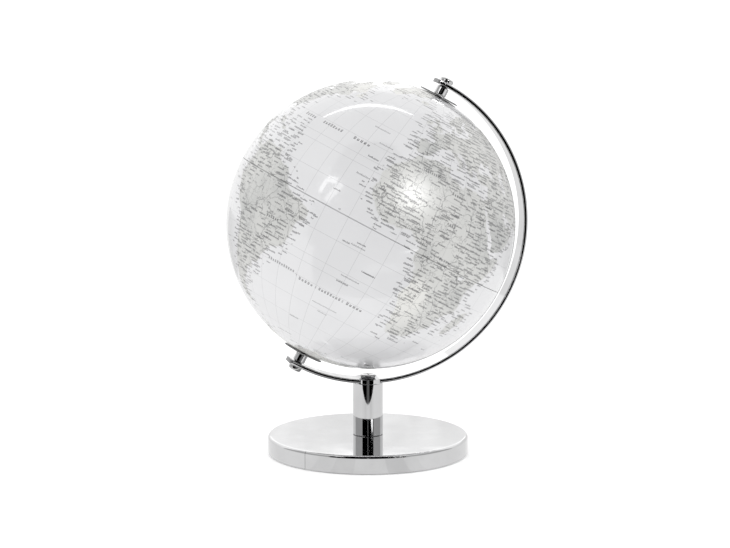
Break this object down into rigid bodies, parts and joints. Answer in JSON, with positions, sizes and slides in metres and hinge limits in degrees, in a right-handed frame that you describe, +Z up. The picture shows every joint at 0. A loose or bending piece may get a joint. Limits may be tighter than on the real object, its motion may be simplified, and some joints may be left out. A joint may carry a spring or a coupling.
{
  "type": "desktop globe on stand",
  "caption": "Desktop globe: a pale printed ball spinning on a tilted axis in a polished half-ring arm, on a short post and a round weighted base.",
  "frame": {"origin": "centre of the underside of the foam pad, where the globe rests on a table", "axes": "+Z up along the post; the arm's ring lies in the XZ plane and the north end of the ball's axis leans towards +X; +Y completes a right-handed frame and points to the back"},
  "size_m": [0.2108, 0.2, 0.2625],
  "materials": {
    "chrome": "mirror polished",
    "screw_chrome": "polished",
    "steel": "zinc plated, satin",
    "iron": "rough cast",
    "print": "pearl white print under clear gloss",
    "plastic": "moulded, satin",
    "fibre": "matt",
    "foam": "closed-cell foam, matt"
  },
  "bodies": {
    "stand": {"base_pad": "foam", "base_plate": "steel", "base_weight": "iron", "base_cover": "chrome", "base_bolt_washer": "steel", "base_bolt": "steel", "post_foot_plug": "steel", "post_tube": "chrome", "post_saddle": "chrome", "arm_band": "chrome", "arm_screw_washer": "steel", "arm_screw": "screw_chrome", "north_pivot_screw": "screw_chrome", "north_neck_washer": "fibre", "north_collar": "chrome", "south_pivot_screw": "screw_chrome", "south_neck_washer": "fibre", "south_collar": "chrome"},
    "ball": {"north_half_shell": "print", "south_half_shell": "print", "equator_ring": "plastic", "north_slip_washer": "plastic", "north_pole_plate": "chrome", "north_pole_bush": "plastic", "south_slip_washer": "plastic", "south_pole_plate": "chrome", "south_pole_bush": "plastic"}
  },
  "joints": [
    {"name": "ball_spin", "type": "hinge", "parent": "stand", "child": "ball", "pos_m": [0.002, 0, 0.161], "axis": [0.4787, 0, 0.878], "continuous": true}
  ]
}
